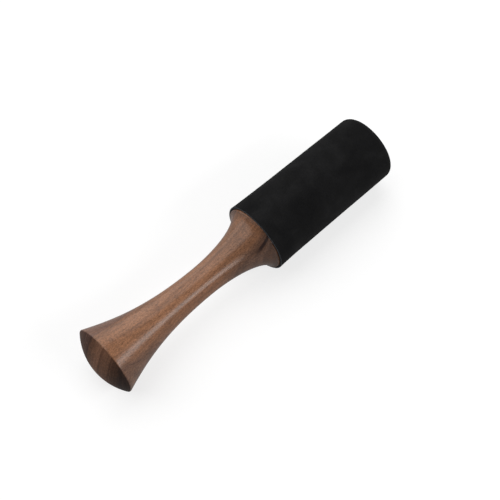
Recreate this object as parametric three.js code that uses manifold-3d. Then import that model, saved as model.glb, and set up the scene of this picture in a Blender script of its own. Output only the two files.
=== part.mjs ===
// Singing bowl mallet: a body turned from one walnut blank, with a strip of suede glued round its head.
// It lies on its side with its axis along X: the domed butt is at -X and the flat head end at +X.
// The origin is on the table, under the middle of the mallet's length. Lengths are in millimetres.
import * as THREE from "three";
import { mergeVertices } from "three/addons/utils/BufferGeometryUtils.js";
import Module from "manifold-3d";

// Overall sizes
const OVERALL_LENGTH = 175; // butt crown to head end face
const HEAD_DIAMETER = 34.9; // over the suede, halfway along the head
const HEAD_LENGTH = 76.5; // shoulder to head end face
const BUTT_DIAMETER = 35.9; // where the dome and the handle would meet in a sharp rim
const WAIST_DIAMETER = 14.9; // the thinnest place of the handle

// Turned shapes
const DOME_HEIGHT = 6.2; // rim to crown
const RIM_EASING = 0.5; // radius sanded onto the rim
const FLARE_ANGLE = 20.9; // degrees between the axis and the handle where it meets the rim
const FLARE_HOLD_AT_RIM = 0.242; // share of the flare's length that keeps its direction there
const FLARE_HOLD_AT_WAIST = 0.49; // the same at the other end, where it runs along the axis
const COVE_LENGTH = 34.2; // waist to shoulder
const COVE_SWEEP = 85; // degrees of a quarter ellipse that the cove covers
const SHOULDER_EASING = 0.45; // radius sanded onto the wood's shoulder, in front of the suede
const HEAD_TAPER = 0.6; // how much the head's radius falls from the shoulder to the end face
const LIP_HEIGHT = 0.4; // how far the suede's front edge stands over the line of the taper
const LIP_FADE = 10; // distance over which that lip falls to a third
const HEAD_END_EASING = 3; // radius over suede and wood together at the end face

// The wrap
const SUEDE_THICKNESS = 1;
const SKIVED_EDGE = 0.3; // what is left of the suede's thickness at the head end
const BOND_GAP = 0.3; // between the wood and the inside of the suede
const CEMENT_THICKNESS = 0.1; // the film lies in the middle of that gap
const CEMENT_SETBACK = 0.6; // and stops this far inside each end of the suede
const SEAM_WIDTH = 0.35; // between the two long edges of the strip
const SEAM_ANGLE = -20; // degrees round the axis from +Y towards +Z

// Facets
const ROUND_SIDES = 48;
const DOME_STEPS = 7;
const EASING_STEPS = 3;
const FLARE_STEPS = 12;
const COVE_STEPS = 10;
const HEAD_STATIONS = [4, 9, 16, 28, 45]; // distances behind the shoulder, close where the lip fades

const wasm = await Module();
wasm.setup();

const radians = THREE.MathUtils.degToRad;
const quarterTurn = Math.PI / 2;
const shoulderAt = OVERALL_LENGTH - HEAD_LENGTH;
const endEasingAt = HEAD_LENGTH - HEAD_END_EASING; // behind the shoulder, where the end's round starts

// Radius over the suede at a distance behind the shoulder.
function headRadius(behind) {
  const taper = HEAD_TAPER * (0.5 - behind / HEAD_LENGTH);
  return HEAD_DIAMETER / 2 + taper + LIP_HEIGHT * Math.exp(-behind / LIP_FADE);
}

// A profile is a list of points, each a radius and a distance from the butt's crown.
function point(radius, along) {
  return new THREE.Vector2(radius, along);
}

// Points round a centre, with angles counted from the outward direction towards the head end.
function arc(centre, radius, from, to, steps) {
  return Array.from({ length: steps + 1 }, (_, i) => {
    const angle = from + ((to - from) * i) / steps;
    return point(centre.x + radius * Math.cos(angle), centre.y + radius * Math.sin(angle));
  });
}

// The head's side, this deep below the face of the suede, between two distances behind the shoulder.
function headSide(depth, from, to) {
  const between = HEAD_STATIONS.filter((station) => station > from && station < to);
  const stations = [from, ...between, to];
  return stations.map((behind) => point(headRadius(behind) - depth, shoulderAt + behind));
}

// The round at the head end, from one radius inwards to another.
function headEnd(from, to) {
  const centre = point(headRadius(endEasingAt) - HEAD_END_EASING, OVERALL_LENGTH - HEAD_END_EASING);
  const angle = (radius) => Math.acos(Math.max(0, radius - centre.x) / HEAD_END_EASING);
  return arc(centre, HEAD_END_EASING, angle(from), angle(to), EASING_STEPS);
}

// The domed butt, the eased rim, and the flare from the rim to the waist.
function handleProfile() {
  const rim = point(BUTT_DIAMETER / 2, DOME_HEIGHT);
  const waist = point(WAIST_DIAMETER / 2, shoulderAt - COVE_LENGTH);
  const flareLength = waist.y - rim.y;

  const ballRadius = (rim.x * rim.x + DOME_HEIGHT * DOME_HEIGHT) / (2 * DOME_HEIGHT);
  const domeSlope = Math.asin(rim.x / ballRadius);
  const turn = quarterTurn + radians(FLARE_ANGLE) - domeSlope; // between the dome and the flare
  const easingReach = RIM_EASING * Math.tan(turn / 2); // from the sharp rim to the round's ends
  const dome = arc(
    point(0, ballRadius), ballRadius, -quarterTurn, domeSlope - quarterTurn - easingReach / ballRadius,
    DOME_STEPS);

  const inwards = domeSlope + turn / 2 + quarterTurn;
  const easingDepth = RIM_EASING / Math.cos(turn / 2);
  const easingCentre = point(
    rim.x + easingDepth * Math.cos(inwards), rim.y + easingDepth * Math.sin(inwards));
  const easing = arc(
    easingCentre, RIM_EASING, domeSlope - quarterTurn, domeSlope - quarterTurn + turn, EASING_STEPS);

  const holdAtRim = FLARE_HOLD_AT_RIM * flareLength;
  const curve = new THREE.CubicBezierCurve(
    rim,
    point(rim.x - holdAtRim * Math.tan(radians(FLARE_ANGLE)), rim.y + holdAtRim),
    point(waist.x, waist.y - FLARE_HOLD_AT_WAIST * flareLength),
    waist);
  const flare = Array.from({ length: FLARE_STEPS }, (_, i) => curve.getPoint((i + 1) / FLARE_STEPS));
  return [point(0, 0), ...dome.slice(1, -1), ...easing, ...flare];
}

// From the waist out to the shoulder, whose edge is eased up to the face that carries the suede.
function coveProfile(shoulderRadius) {
  const waist = point(WAIST_DIAMETER / 2, shoulderAt - COVE_LENGTH);
  const edge = point(shoulderRadius - SHOULDER_EASING, shoulderAt);
  const sweep = radians(COVE_SWEEP);
  const length = (COVE_LENGTH - SHOULDER_EASING) / Math.sin(sweep);
  const depth = (edge.x - waist.x) / (1 - Math.cos(sweep));
  const cove = Array.from({ length: COVE_STEPS }, (_, i) => {
    const angle = (sweep * (i + 1)) / COVE_STEPS;
    return point(waist.x + depth * (1 - Math.cos(angle)), waist.y + length * Math.sin(angle));
  });
  const easing = arc(edge, SHOULDER_EASING, -quarterTurn, 0, EASING_STEPS);
  return [...cove, ...easing.slice(1, -1)];
}

// Handle and core in one piece of wood. The core ends in the flat face of the head.
function turnedBody() {
  const core = headSide(SUEDE_THICKNESS + BOND_GAP, 0, endEasingAt);
  const flatRadius = headRadius(endEasingAt) - HEAD_END_EASING;
  return lathe([
    ...handleProfile(), ...coveProfile(core[0].x), ...core, ...headEnd(core.at(-1).x, flatRadius),
    point(0, OVERALL_LENGTH)]);
}

// The strip of suede, bent round the core until its long edges meet, and skived thin at the head end.
function suedeSleeve() {
  const outside = headSide(0, 0, endEasingAt);
  const inside = headSide(SUEDE_THICKNESS, 0, endEasingAt);
  const skived = headEnd(outside.at(-1).x, inside.at(-1).x + SKIVED_EDGE);
  const edge = point(inside.at(-1).x, skived.at(-1).y);
  const ring = [...outside, ...skived.slice(1), edge, ...inside.reverse()];
  return cut(lathe([...ring, ring[0]]), seamBlade());
}

function cementFilm() {
  const depth = SUEDE_THICKNESS + (BOND_GAP - CEMENT_THICKNESS) / 2;
  const outside = headSide(depth, CEMENT_SETBACK, endEasingAt - CEMENT_SETBACK);
  const inside = headSide(depth + CEMENT_THICKNESS, CEMENT_SETBACK, endEasingAt - CEMENT_SETBACK);
  return lathe([...outside, ...inside.reverse(), outside[0]]);
}

// A thin blade from the axis outwards, past both ends of the suede, where the strip's edges meet.
function seamBlade() {
  const blade = new THREE.BoxGeometry(HEAD_DIAMETER, 2 * HEAD_LENGTH, SEAM_WIDTH);
  blade.translate(HEAD_DIAMETER / 2, shoulderAt + HEAD_LENGTH / 2, 0);
  blade.rotateY(Math.PI + radians(SEAM_ANGLE));
  return blade;
}

// A solid of revolution about Y, with the middle of a facet at +Z and at -Z.
function lathe(profile) {
  return new THREE.LatheGeometry(profile, ROUND_SIDES, Math.PI / ROUND_SIDES);
}

function cut(geometry, tool) {
  const mesh = solid(geometry).subtract(solid(tool)).getMesh();
  const result = new THREE.BufferGeometry();
  result.setAttribute("position", new THREE.BufferAttribute(mesh.vertProperties, 3));
  result.setIndex(new THREE.BufferAttribute(mesh.triVerts, 1));
  result.computeVertexNormals();
  return result;
}

function solid(geometry) {
  const bare = geometry.clone();
  bare.deleteAttribute("normal");
  bare.deleteAttribute("uv");
  const merged = mergeVertices(bare);
  return new wasm.Manifold(new wasm.Mesh({
    numProp: 3,
    vertProperties: merged.attributes.position.array,
    triVerts: new Uint32Array(merged.index.array),
  }));
}

const walnut = new THREE.MeshStandardMaterial({ color: 0x8a6750, roughness: 0.45, metalness: 0 });
const suede = new THREE.MeshStandardMaterial({ color: 0x1f1f20, roughness: 0.95, metalness: 0 });
const cement = new THREE.MeshStandardMaterial({ color: 0x5e4c30, roughness: 0.4, metalness: 0 });

function part(name, geometry, material) {
  const mesh = new THREE.Mesh(geometry, material);
  mesh.name = name;
  return mesh;
}

const mallet = new THREE.Group();
mallet.add(
  part("turned_body", turnedBody(), walnut),
  part("cement_film", cementFilm(), cement),
  part("suede_sleeve", suedeSleeve(), suede));

// The lathe axis is laid along X, with a facet of the mallet's widest place flat on the table.
const widest = Math.max(headRadius(0), BUTT_DIAMETER / 2);
mallet.rotation.z = -quarterTurn;
mallet.position.set(-OVERALL_LENGTH / 2, 0, widest * Math.cos(Math.PI / ROUND_SIDES));

export default mallet;
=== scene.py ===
import math

import bmesh
import bpy
from mathutils import Matrix, Vector, noise
from mathutils.geometry import interpolate_bezier


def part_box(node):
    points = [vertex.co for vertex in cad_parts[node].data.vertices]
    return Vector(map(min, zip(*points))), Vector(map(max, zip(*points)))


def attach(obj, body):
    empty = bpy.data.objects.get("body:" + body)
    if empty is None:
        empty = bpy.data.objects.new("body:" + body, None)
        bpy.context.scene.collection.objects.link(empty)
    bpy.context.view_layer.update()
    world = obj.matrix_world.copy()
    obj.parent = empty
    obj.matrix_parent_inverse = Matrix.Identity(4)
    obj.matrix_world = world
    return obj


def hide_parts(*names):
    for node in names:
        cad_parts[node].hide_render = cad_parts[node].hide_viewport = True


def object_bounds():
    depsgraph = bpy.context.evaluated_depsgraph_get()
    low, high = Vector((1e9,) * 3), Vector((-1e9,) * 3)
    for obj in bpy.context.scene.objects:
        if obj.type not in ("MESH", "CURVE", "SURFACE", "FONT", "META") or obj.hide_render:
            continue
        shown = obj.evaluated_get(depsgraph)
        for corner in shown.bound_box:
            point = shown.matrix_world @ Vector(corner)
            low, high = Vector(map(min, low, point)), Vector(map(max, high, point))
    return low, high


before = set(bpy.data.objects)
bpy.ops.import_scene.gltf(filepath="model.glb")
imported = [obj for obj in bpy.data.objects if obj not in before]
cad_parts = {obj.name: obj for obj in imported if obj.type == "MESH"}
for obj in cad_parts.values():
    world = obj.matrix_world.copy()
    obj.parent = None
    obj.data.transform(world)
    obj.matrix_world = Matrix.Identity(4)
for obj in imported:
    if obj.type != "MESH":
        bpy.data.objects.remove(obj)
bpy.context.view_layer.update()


# The camera stands over the butt and looks down on the mallet through a long lens, so that the handle
# comes towards it and the head leads away. It aims just in front of the cove.
view_azimuth = math.radians(-42.92)
view_elevation = math.radians(62.22)
view_distance = 0.6435
view_aim = Vector((0.00575, -0.0026, 0.01708))

camera = bpy.data.objects.new("camera", bpy.data.cameras.new("camera"))
camera.data.lens = 98
camera.data.sensor_width = 36
camera.data.clip_end = 20
camera.rotation_euler = (math.pi / 2 - view_elevation, 0, view_azimuth)
camera.location = view_aim + view_distance * Vector((
    math.sin(view_azimuth) * math.cos(view_elevation),
    -math.cos(view_azimuth) * math.cos(view_elevation),
    math.sin(view_elevation)))
bpy.context.collection.objects.link(camera)
bpy.context.scene.camera = camera


# The turned body: handle and head core in one, turned from a single walnut blank between centres, sanded
# round the axis and oiled. The core runs on under the suede and ends in the flat face of the head.
body_low, body_high = (Vector(corner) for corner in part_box("turned_body"))
sleeve_low, sleeve_high = (Vector(corner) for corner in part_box("suede_sleeve"))
mallet_length = body_high.x - body_low.x
axis_height = (sleeve_low.z + sleeve_high.z) / 2
butt_at = body_low.x  # where the crown of the butt is along X
head_end_at = body_high.x
shoulder_at = sleeve_low.x
head_length = head_end_at - shoulder_at

rim_radius = 0.01795
dome_height = 0.0062
waist_radius = 0.00745
waist_at = shoulder_at - 0.0342
flare_angle = math.radians(20.9)  # between the axis and the handle where it meets the rim
flare_hold_at_rim = 0.242  # share of the flare's length that keeps its direction there
flare_hold_at_waist = 0.49  # the same at the other end, where it runs along the axis
cove_sweep = math.radians(85)  # of a quarter ellipse
rim_easing = 0.0005
shoulder_easing = 0.00045
head_easing = 0.003  # radius over suede and wood together at the end face
end_round_at = head_end_at - head_easing
head_radius = 0.01745  # over the suede, halfway along the head
head_taper = 0.0006
lip_height = 0.0004
lip_fade = 0.01
core_depth = 0.0013  # below the face of the suede
body_sides = 160


def radius_over_suede(along):
    """The head's radius at a place along X: a slight taper, and a lip where the suede begins."""
    behind = along - shoulder_at
    taper = head_taper * (0.5 - behind / head_length)
    return head_radius + taper + lip_height * math.exp(-behind / lip_fade)


def on_profile(along, radius):
    """A point of a profile, which is drawn in the XZ plane with the mallet's axis along X."""
    return Vector((along, 0, radius))


def curve_points(start, hold_start, hold_end, end, steps):
    """A Bezier curve's points without its first one, so that curves join up."""
    return list(interpolate_bezier(start, hold_start, hold_end, end, steps + 1))[1:]


def arc_points(centre, radius, start, stop, steps):
    """Points on an arc, with angles counted from the outward direction towards +X."""
    angles = [start + (stop - start) * step / steps for step in range(steps + 1)]
    return [centre + radius * Vector((math.sin(a), 0, math.cos(a))) for a in angles]


def side_points(depth, start, stop, steps):
    """The head's side, this deep below the face of the suede."""
    places = [start + (stop - start) * step / steps for step in range(steps + 1)]
    return [on_profile(along, radius_over_suede(along) - depth) for along in places]


def end_round(from_radius, to_radius, steps):
    """The round over the edge of the head end, between two radii."""
    centre = on_profile(end_round_at, radius_over_suede(end_round_at) - head_easing)
    start, stop = (
        math.acos(min(1, max(0, (r - centre.z) / head_easing))) for r in (from_radius, to_radius))
    return arc_points(centre, head_easing, start, stop, steps)


def spun(points, angle, sides, closed=False):
    """A bmesh with a profile turned round the X axis."""
    bm = bmesh.new()
    verts = [bm.verts.new(p) for p in points]
    pairs = list(zip(verts, verts[1:]))
    if closed:
        pairs.append((verts[-1], verts[0]))
    edges = [bm.edges.new(pair) for pair in pairs]
    bmesh.ops.spin(
        bm, geom=verts + edges, cent=(0, 0, 0), axis=(1, 0, 0), angle=angle, steps=sides,
        use_merge=angle >= 2 * math.pi, use_duplicate=False)
    bmesh.ops.remove_doubles(bm, verts=bm.verts, dist=1e-7)
    bmesh.ops.recalc_face_normals(bm, faces=bm.faces)
    return bm


def ring_edges(bm, along, radius):
    """The edges of the ring that a corner of the profile made."""
    def is_on(vert):
        return abs(vert.co.x - along) < 1e-6 and abs(math.hypot(vert.co.y, vert.co.z) - radius) < 1e-6
    return [edge for edge in bm.edges if all(is_on(vert) for vert in edge.verts)]


def finished(bm, name, material):
    """Lifts a bmesh from the X axis to the mallet's axis and makes it a piece."""
    bmesh.ops.translate(bm, verts=bm.verts, vec=(0, 0, axis_height))
    mesh = bpy.data.meshes.new(name)
    bm.to_mesh(mesh)
    bm.free()
    mesh.shade_smooth()
    mesh.materials.append(material)
    piece = bpy.data.objects.new(name, mesh)
    bpy.context.collection.objects.link(piece)
    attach(piece, "root")
    return piece


crown = on_profile(butt_at, 0)
rim = on_profile(butt_at + dome_height, rim_radius)
waist = on_profile(waist_at, waist_radius)
flare_length = waist.x - rim.x
ball_radius = (rim_radius ** 2 + dome_height ** 2) / (2 * dome_height)
ball_angle = math.asin(rim_radius / ball_radius)
dome = arc_points(
    on_profile(butt_at + ball_radius, 0), ball_radius, -math.pi / 2, ball_angle - math.pi / 2, 30)
flare = curve_points(
    rim,
    rim + flare_hold_at_rim * flare_length * Vector((1, 0, -math.tan(flare_angle))),
    waist - Vector((flare_hold_at_waist * flare_length, 0, 0)),
    waist, 48)

core = side_points(core_depth, shoulder_at, end_round_at, 16)
shoulder = on_profile(shoulder_at - shoulder_easing, core[0].z)
cove_length = (shoulder.x - waist.x) / math.sin(cove_sweep)
cove_depth = (shoulder.z - shoulder_easing - waist.z) / (1 - math.cos(cove_sweep))
cove_steps = 40
cove = [
    waist + Vector((cove_length * math.sin(a), 0, cove_depth * (1 - math.cos(a))))
    for a in (cove_sweep * (step + 1) / cove_steps for step in range(cove_steps))]
core_end = end_round(core[-1].z, radius_over_suede(end_round_at) - head_easing, 8)

body_profile = [crown, *dome[1:], *flare, *cove, shoulder, *core, *core_end, on_profile(head_end_at, 0)]
body_mesh = spun(body_profile, 2 * math.pi, body_sides)
# A bevel's width is measured along the faces, so at the shoulder it is a little less than the radius.
for corner, easing in ((rim, rim_easing), (shoulder, shoulder_easing * 0.9)):
    bmesh.ops.bevel(
        body_mesh, geom=ring_edges(body_mesh, corner.x, corner.z), offset=easing,
        offset_type="OFFSET", affect="EDGES", segments=5, profile=0.5, material=-1)


def new_material(name):
    """A material with an empty tree but for its output and a Principled shader, and both nodes."""
    material = bpy.data.materials.new(name)
    material.use_nodes = True
    tree = material.node_tree
    tree.nodes.clear()
    output = tree.nodes.new("ShaderNodeOutputMaterial")
    shader = tree.nodes.new("ShaderNodeBsdfPrincipled")
    tree.links.new(shader.outputs["BSDF"], output.inputs["Surface"])
    return material, tree, shader


def put(tree, kind, inputs, **settings):
    """Adds a node. An input is given a value, or linked if what is given is another node's output."""
    node = tree.nodes.new("ShaderNode" + kind)
    for name, value in settings.items():
        setattr(node, name, value)
    for name, value in inputs.items():
        if isinstance(value, bpy.types.NodeSocket):
            tree.links.new(value, node.inputs[name])
        else:
            node.inputs[name].default_value = value
    return node


def ramp(tree, factor, stops):
    """A Color Ramp through (position, grey or colour) stops. Returns its colour output."""
    node = put(tree, "ValToRGB", {"Fac": factor})
    band = node.color_ramp
    while len(band.elements) < len(stops):
        band.elements.new(0.5)
    for element, (position, colour) in zip(band.elements, stops):
        element.position = position
        element.color = (colour,) * 3 + (1,) if isinstance(colour, (int, float)) else (*colour, 1)
    return node.outputs["Color"]


def mixed(tree, factor, below, above, mode="MIX"):
    """Two colours mixed. Returns the colour output."""
    node = tree.nodes.new("ShaderNodeMix")
    node.data_type = "RGBA"
    node.blend_type = mode
    for index, value in ((0, factor), (6, below), (7, above)):
        if isinstance(value, bpy.types.NodeSocket):
            tree.links.new(value, node.inputs[index])
        elif index == 0:
            node.inputs[0].default_value = value
        else:
            node.inputs[index].default_value = (*value, 1)
    return node.outputs[2]


def maths(tree, operation, *values):
    """A Math node of this operation. Returns its value output."""
    node = tree.nodes.new("ShaderNodeMath")
    node.operation = operation
    for socket, value in zip(node.inputs, values):
        if isinstance(value, bpy.types.NodeSocket):
            tree.links.new(value, socket)
        else:
            socket.default_value = value
    return node.outputs["Value"]


def shifted(tree, value, width):
    """Noise of 0 to 1 turned into a swing of this width about zero. Returns the value output."""
    return maths(tree, "MULTIPLY", maths(tree, "SUBTRACT", value, 0.5), width)


# Oiled walnut. The growth layers stand upright in the blank, so they show as long streaks on the handle and
# as upright bands on the dome. Pores are short dark dashes along the grain and dots on the end grain.
walnut, tree, shader = new_material("oiled walnut")
place = put(tree, "TexCoord", {}).outputs["Object"]
blank = put(tree, "Mapping", {"Vector": place, "Scale": (1000, 1000, 1000)}).outputs["Vector"]  # mm


def stretched_noise(scale, detail, roughness, shift=0.0):
    """Noise over the blank, with a scale for each axis in waves per mm. Returns its 0 to 1 output."""
    at = put(tree, "Mapping", {"Vector": blank, "Scale": scale, "Location": (shift, shift, shift)})
    grain = put(tree, "TexNoise", {
        "Vector": at.outputs["Vector"], "Scale": 1, "Detail": detail, "Roughness": roughness})
    return grain.outputs["Fac"]


wander = stretched_noise((0.012, 0.05, 0.05), 2, 0.5)
waver = stretched_noise((0.04, 0.25, 0.25), 3, 0.5, 7)
axes = put(tree, "SeparateXYZ", {"Vector": blank})
along = axes.outputs["X"]
across = axes.outputs["Y"]
slant = maths(tree, "MULTIPLY_ADD", along, -0.06, -3.6)  # the layers aren't quite parallel to the axis
layer = maths(
    tree, "ADD", maths(tree, "ADD", across, slant),
    maths(tree, "ADD", shifted(tree, wander, 3.0), shifted(tree, waver, 1.2)))


def layer_noise(scale, detail, roughness):
    """Noise that changes only from one growth layer to the next."""
    grain = put(tree, "TexNoise", {
        "W": maths(tree, "MULTIPLY", layer, scale), "Scale": 1, "Detail": detail, "Roughness": roughness},
        noise_dimensions="1D")
    return grain.outputs["Fac"]


rings = layer_noise(0.7, 3, 0.6)
fibre = stretched_noise((0.025, 0.8, 0.8), 4, 0.65, 3)
speckle = stretched_noise((1.4, 2.2, 2.2), 3, 0.7, 17)
mottle = stretched_noise((0.15, 0.4, 0.4), 3, 0.6, 11)
pores = stretched_noise((0.4, 2.4, 2.4), 3, 0.6, 5)

wood_light = (0.28, 0.133, 0.07)
wood_middle = (0.217, 0.099, 0.05)
wood_purple = (0.12, 0.062, 0.048)
wood_russet = (0.175, 0.077, 0.038)
# Grey and black are partly painted shade, on the side turned away from the key light.
wood_grey_and_shade = (0.082, 0.048, 0.037)
wood_black_and_shade = (0.03, 0.014, 0.011)
wood_pore = (0.06, 0.026, 0.015)

# The blank's growth layers from one side to the other, 18 mm each way from the mallet's axis.
# Towards -Y, the side turned away from the key light, the grey and black layers are painted shade as well as
# grain.
layers_and_shade_across = put(tree, "MapRange", {
    "Value": layer, "From Min": -18.0, "From Max": 18.0}).outputs["Result"]
colour = ramp(tree, layers_and_shade_across, [
    (0.03, wood_black_and_shade), (0.06, wood_grey_and_shade), (0.17, wood_grey_and_shade), (0.24, wood_middle), (0.33, wood_middle),
    (0.4, wood_light), (0.49, wood_middle), (0.53, wood_light), (0.63, wood_light),
    (0.66, wood_russet), (0.69, wood_russet), (0.72, wood_purple), (0.9, wood_purple)])
colour = mixed(tree, 0.4, colour, ramp(tree, rings, [
    (0.36, wood_russet), (0.46, wood_middle), (0.58, wood_light)]))
colour = mixed(tree, ramp(tree, mottle, [(0.48, 0.0), (0.72, 0.2)]), colour, wood_purple)
colour = mixed(tree, 1.0, colour, ramp(tree, fibre, [(0.36, 0.79), (0.5, 0.98), (0.64, 1.12)]), "MULTIPLY")
colour = mixed(tree, 1.0, colour, ramp(tree, speckle, [(0.34, 0.68), (0.5, 1.0), (0.66, 1.28)]), "MULTIPLY")
pore_mask = ramp(tree, pores, [(0.56, 0.0), (0.66, 1.0)])
colour = mixed(tree, maths(tree, "MULTIPLY", pore_mask, 0.4), colour, wood_pore)

# One nearly black layer comes out of the cove by the shoulder: partly grain, partly painted shade and a
# painted dark reflection of the black suede beside it.
black_layer_and_shade_at = -9.1  # mm across from the axis
black_layer_and_shade = put(tree, "MapRange", {
    "Value": maths(tree, "ABSOLUTE", maths(tree, "SUBTRACT", across, black_layer_and_shade_at)),
    "From Min": 0.95, "From Max": 0.4})
to_shoulder = put(tree, "MapRange", {"Value": along, "From Min": 2.0, "From Max": 6.5})
colour = mixed(
    tree, maths(tree, "MULTIPLY", black_layer_and_shade.outputs["Result"], to_shoulder.outputs["Result"]),
    colour, wood_black_and_shade)

# The cove is cut across the fibres and drinks more oil, so it is darker than the handle.
in_cove = put(tree, "MapRange", {
    "Value": along, "From Min": -20.0, "From Max": 12.0}).outputs["Result"]
colour = mixed(tree, 1.0, colour, ramp(tree, in_cove, [
    (0.1, 1.0), (0.5, 0.78), (0.7, 0.78), (0.9, 0.9)]), "MULTIPLY")

# End grain drinks the most, so the dome and the head's end are the darkest and have less gloss.
rim_line = 1000 * rim.x
end_line = 1000 * head_end_at
on_dome = put(tree, "MapRange", {
    "Value": along, "From Min": rim_line + 0.1, "From Max": rim_line - 0.3}).outputs["Result"]
on_end = put(tree, "MapRange", {
    "Value": along, "From Min": end_line - 1.4, "From Max": end_line - 1.2}).outputs["Result"]
end_grain = maths(tree, "MAXIMUM", on_dome, on_end)
ends = mixed(tree, 1.0, colour, (0.47, 0.48, 0.54), "MULTIPLY")
ends = mixed(tree, 1.0, ends, ramp(tree, rings, [(0.36, 0.84), (0.62, 1.14)]), "MULTIPLY")
# Painted shade and light on the end grain: darker towards -Y, the side away from the key light, and lighter
# round the middle.
ends = mixed(tree, 1.0, ends, ramp(tree, layers_and_shade_across, [
    (0.14, 0.5), (0.28, 0.72), (0.39, 1.25), (0.5, 1.5), (0.6, 1.38), (0.7, 0.9), (0.8, 0.9)]), "MULTIPLY")
colour = mixed(tree, end_grain, colour, ends)

# The round between the suede and the end face is stained black with edge dye, so no bare wood shows there.
behind_face = put(tree, "MapRange", {
    "Value": along, "From Min": end_line - 0.03, "From Max": end_line - 0.2}).outputs["Result"]
edge_dye = (0.009, 0.009, 0.009)
colour = mixed(tree, maths(tree, "MULTIPLY", on_end, behind_face), colour, edge_dye)

tree.links.new(colour, shader.inputs["Base Color"])
satin = put(tree, "MapRange", {"Value": fibre, "To Min": 0.36, "To Max": 0.5}).outputs["Result"]
tree.links.new(mixed(tree, end_grain, satin, (0.6, 0.6, 0.6)), shader.inputs["Roughness"])
tree.links.new(
    put(tree, "MapRange", {"Value": end_grain, "To Min": 0.62, "To Max": 0.12}).outputs["Result"],
    shader.inputs["Coat Weight"])
shader.inputs["Coat Roughness"].default_value = 0.26
shader.inputs["IOR"].default_value = 1.45
shader.inputs["Specular IOR Level"].default_value = 0.05
turning_marks = put(tree, "TexNoise", {
    "W": along, "Scale": 1.3, "Detail": 2, "Roughness": 0.6}, noise_dimensions="1D").outputs["Fac"]
relief = maths(
    tree, "ADD", maths(tree, "MULTIPLY", turning_marks, 0.12),
    maths(tree, "ADD", maths(tree, "MULTIPLY", fibre, 0.5), maths(tree, "MULTIPLY", pore_mask, -0.5)))
surface = put(tree, "Bump", {"Height": relief, "Strength": 1.0, "Distance": 0.0002})
tree.links.new(surface.outputs["Normal"], shader.inputs["Normal"])

body = finished(body_mesh, "walnut_body", walnut)
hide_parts("turned_body")


# The suede: one strip, nap side out, cemented round the core until its long edges meet in a butt seam on
# the side away from the camera. Its front edge is cut square and its back edge is skived thin and rubbed
# down over the rounded end.
suede_thickness = 0.001
skived_edge = 0.0003
seam_width = 0.00035
seam_angle = math.radians(-20)  # round the axis from +Y towards +Z
sleeve_sides = 240
worn_edge = 0.00016  # rounding of the cut edges
straight_at = math.radians(21)  # round the axis from +Z towards -Y, where the front edge is at the shoulder
edge_set_back = 0.0003  # half of how far the front edge runs back on the sides
edge_lean = 0.00013  # half of how much further it runs back on the -Y side than on the other
edge_ripple = 0.00006
waver_fade = 0.012  # distance over which the front edge's waver dies out
hide_unevenness = 0.00006
nap_rise = 0.00003

outside = side_points(0, shoulder_at, end_round_at, 100)
inside_radius = outside[-1].z - suede_thickness
skived = end_round(outside[-1].z, inside_radius + skived_edge, 5)
lip = on_profile(skived[-1].x, inside_radius)
inside = side_points(suede_thickness, end_round_at, shoulder_at, 14)
seam_sweep = seam_width / head_radius
sleeve_mesh = spun(
    [*outside, *skived[1:], lip, *inside], 2 * math.pi - seam_sweep, sleeve_sides, closed=True)
open_edges = [edge for edge in sleeve_mesh.edges if edge.is_boundary]
bmesh.ops.edgeloop_fill(sleeve_mesh, edges=open_edges)
bmesh.ops.recalc_face_normals(sleeve_mesh, faces=sleeve_mesh.faces)
# The profile starts at +Z, so the strip is turned until the gap sits at the seam's angle.
bmesh.ops.rotate(
    sleeve_mesh, verts=sleeve_mesh.verts, cent=(0, 0, 0),
    matrix=Matrix.Rotation(seam_angle - math.pi / 2 + seam_sweep / 2, 3, "X"))


def on_face(vert):
    """Whether a point is on the nap side of the suede, in front of the rounded end."""
    over = math.hypot(vert.co.y, vert.co.z) - radius_over_suede(vert.co.x)
    return over > -0.3 * suede_thickness and vert.co.x < end_round_at


cut_edges = [
    edge for edge in sleeve_mesh.edges
    if edge.calc_face_angle(0) > math.radians(60) and all(on_face(vert) for vert in edge.verts)]
bmesh.ops.bevel(
    sleeve_mesh, geom=cut_edges, offset=worn_edge, offset_type="OFFSET", affect="EDGES", segments=3,
    profile=0.5, material=-1)

# The front edge was cut by hand, so on the sides it runs up to 0.7 mm behind the shoulder. The face is a
# little uneven where the hide is thicker or the nap stands up.
for vert in sleeve_mesh.verts:
    behind = vert.co.x - shoulder_at
    turn = math.atan2(-vert.co.y, vert.co.z) - straight_at
    if behind < waver_fade:
        ripple = edge_ripple * noise.noise(4 * Vector((math.cos(turn), math.sin(turn), 0)))
        set_back = edge_set_back * (1 - math.cos(2 * turn)) + edge_lean * math.sin(turn) + ripple
        vert.co.x += set_back * (1 - behind / waver_fade)
    if on_face(vert):
        rise = hide_unevenness * noise.noise(80 * vert.co) + nap_rise * noise.noise(1100 * vert.co)
        vert.co.yz = (1 + rise / head_radius) * vert.co.yz


# Both suede materials have the same nap: fine fibres, lying differently in patches.
nap = bpy.data.node_groups.new("short nap", "ShaderNodeTree")
nap.interface.new_socket("Vector", in_out="INPUT", socket_type="NodeSocketVector")
nap.interface.new_socket("Fibres", in_out="INPUT", socket_type="NodeSocketFloat")
for name in ("Patches", "Shade"):
    nap.interface.new_socket(name, in_out="OUTPUT", socket_type="NodeSocketFloat")
given = nap.nodes.new("NodeGroupInput")
patches = put(nap, "TexNoise", {
    "Vector": given.outputs["Vector"], "Scale": 75, "Detail": 4, "Roughness": 0.6, "Distortion": 0.4})
fibres = put(nap, "TexNoise", {
    "Vector": given.outputs["Vector"], "Scale": given.outputs["Fibres"], "Detail": 3, "Roughness": 0.65})
result = nap.nodes.new("NodeGroupOutput")
nap.links.new(patches.outputs["Fac"], result.inputs["Patches"])
nap.links.new(fibres.outputs["Fac"], result.inputs["Shade"])


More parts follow.
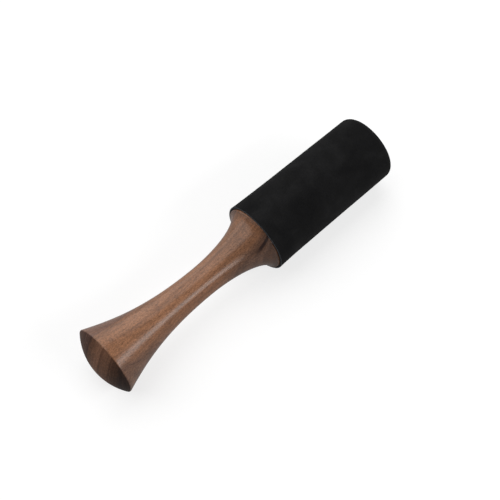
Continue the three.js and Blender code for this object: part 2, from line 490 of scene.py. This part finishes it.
def napped(tree, fibres):
    """The nap on a material's Object coordinates. Returns its outputs for the patches and the shade."""
    place = put(tree, "TexCoord", {}).outputs["Object"]
    node = tree.nodes.new("ShaderNodeGroup")
    node.node_tree = nap
    tree.links.new(place, node.inputs["Vector"])
    node.inputs["Fibres"].default_value = fibres
    return node.outputs["Patches"], node.outputs["Shade"]


suede, tree, shader = new_material("black suede")
patches, shade = napped(tree, 2600)
colour = ramp(tree, patches, [
    (0.35, (0.0062, 0.0062, 0.0065)), (0.52, (0.0085, 0.0085, 0.0088)), (0.7, (0.0128, 0.0128, 0.0132))])
colour = mixed(tree, 0.7, colour, ramp(tree, shade, [(0.3, 0.5), (0.7, 1.1)]), "MULTIPLY")
tree.links.new(colour, shader.inputs["Base Color"])
shader.inputs["Roughness"].default_value = 0.95
shader.inputs["Specular IOR Level"].default_value = 0.05
shader.inputs["Sheen Weight"].default_value = 0.025
shader.inputs["Sheen Roughness"].default_value = 0.5
surface = put(tree, "Bump", {"Height": shade, "Strength": 0.7, "Distance": 0.0002})
tree.links.new(surface.outputs["Normal"], shader.inputs["Normal"])

# The dye doesn't reach the middle of the hide, so the cut edge is a paler, bluish grey.
cut_suede, tree, shader = new_material("cut edge of the suede")
shade = napped(tree, 4000)[1]
colour = ramp(tree, shade, [
    (0.3, (0.028, 0.03, 0.034)), (0.5, (0.055, 0.06, 0.068)), (0.7, (0.1, 0.108, 0.12))])
tree.links.new(colour, shader.inputs["Base Color"])
shader.inputs["Roughness"].default_value = 0.9
shader.inputs["Specular IOR Level"].default_value = 0.1
surface = put(tree, "Bump", {"Height": shade, "Strength": 0.8, "Distance": 0.0001})
tree.links.new(surface.outputs["Normal"], shader.inputs["Normal"])

cut_faces = [
    face for face in sleeve_mesh.faces
    if face.normal.x < -0.5 and face.calc_center_median().x < shoulder_at + suede_thickness]
for face in cut_faces:
    face.material_index = 1

sleeve = finished(sleeve_mesh, "suede_wrap", suede)
sleeve.data.materials.append(cut_suede)
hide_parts("suede_sleeve")


# The contact cement: a thin amber film, brushed on the core and on the suede's inside before the suede was
# wrapped round. It can be seen only through the seam.
cement, tree, shader = new_material("dried contact cement")
place = put(tree, "TexCoord", {}).outputs["Object"]
brushed = put(tree, "TexNoise", {"Vector": place, "Scale": 900, "Detail": 3})
tree.links.new(
    ramp(tree, brushed.outputs["Fac"], [(0.3, (0.09, 0.055, 0.02)), (0.7, (0.16, 0.1, 0.04))]),
    shader.inputs["Base Color"])
shader.inputs["Roughness"].default_value = 0.35
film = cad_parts["cement_film"]
film.data.materials.clear()
film.data.materials.append(cement)


# The table top and the studio light: a white table, one large soft box high behind the mallet, and a long
# strip in front of it that draws the streak along the handle. Table and backdrop look whiter than they light
# the mallet, so that its underside stays in shade.
table_mesh = bmesh.new()
bmesh.ops.create_grid(table_mesh, x_segments=1, y_segments=1, size=3)
bmesh.ops.translate(table_mesh, verts=table_mesh.verts, vec=(0, 0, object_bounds()[0][2]))
table_data = bpy.data.meshes.new("table")
table_mesh.to_mesh(table_data)
table_mesh.free()
white, tree, shader = new_material("white table")
shader.inputs["Base Color"].default_value = (0.32, 0.32, 0.32, 1)
shader.inputs["Roughness"].default_value = 0.9
seen = put(tree, "LightPath", {}).outputs["Is Camera Ray"]
tree.links.new(mixed(tree, seen, (0.22, 0.22, 0.22), (1, 1, 1)), shader.inputs["Emission Color"])
shader.inputs["Emission Strength"].default_value = 0.68
table_data.materials.append(white)
table = bpy.data.objects.new("table", table_data)
bpy.context.collection.objects.link(table)


def soft_box(name, place, width, height, power):
    """A rectangular light that lies parallel to the mallet and faces its axis."""
    light = bpy.data.lights.new(name, "AREA")
    light.shape = "RECTANGLE"
    light.size = width
    light.size_y = height
    light.energy = power
    lamp = bpy.data.objects.new(name, light)
    lamp.location = Vector((0, 0, axis_height)) + Vector(place)
    lamp.rotation_euler = (math.atan2(-place[1], place[2]), 0, 0)
    bpy.context.collection.objects.link(lamp)


soft_box("key_soft_box", (0, 0.82, 0.88), 2.6, 2.2, 31.5)
soft_box("front_strip", (0.72, -0.77, 0.48), 1.5, 0.36, 10.2)

world = bpy.data.worlds.new("studio")
world.use_nodes = True
seen = put(world.node_tree, "LightPath", {}).outputs["Is Camera Ray"]
world.node_tree.links.new(
    mixed(world.node_tree, seen, (0.15, 0.15, 0.15), (0.9, 0.9, 0.9)),
    world.node_tree.nodes["Background"].inputs["Color"])
bpy.context.scene.world = world
bpy.context.scene.view_settings.view_transform = "Standard"
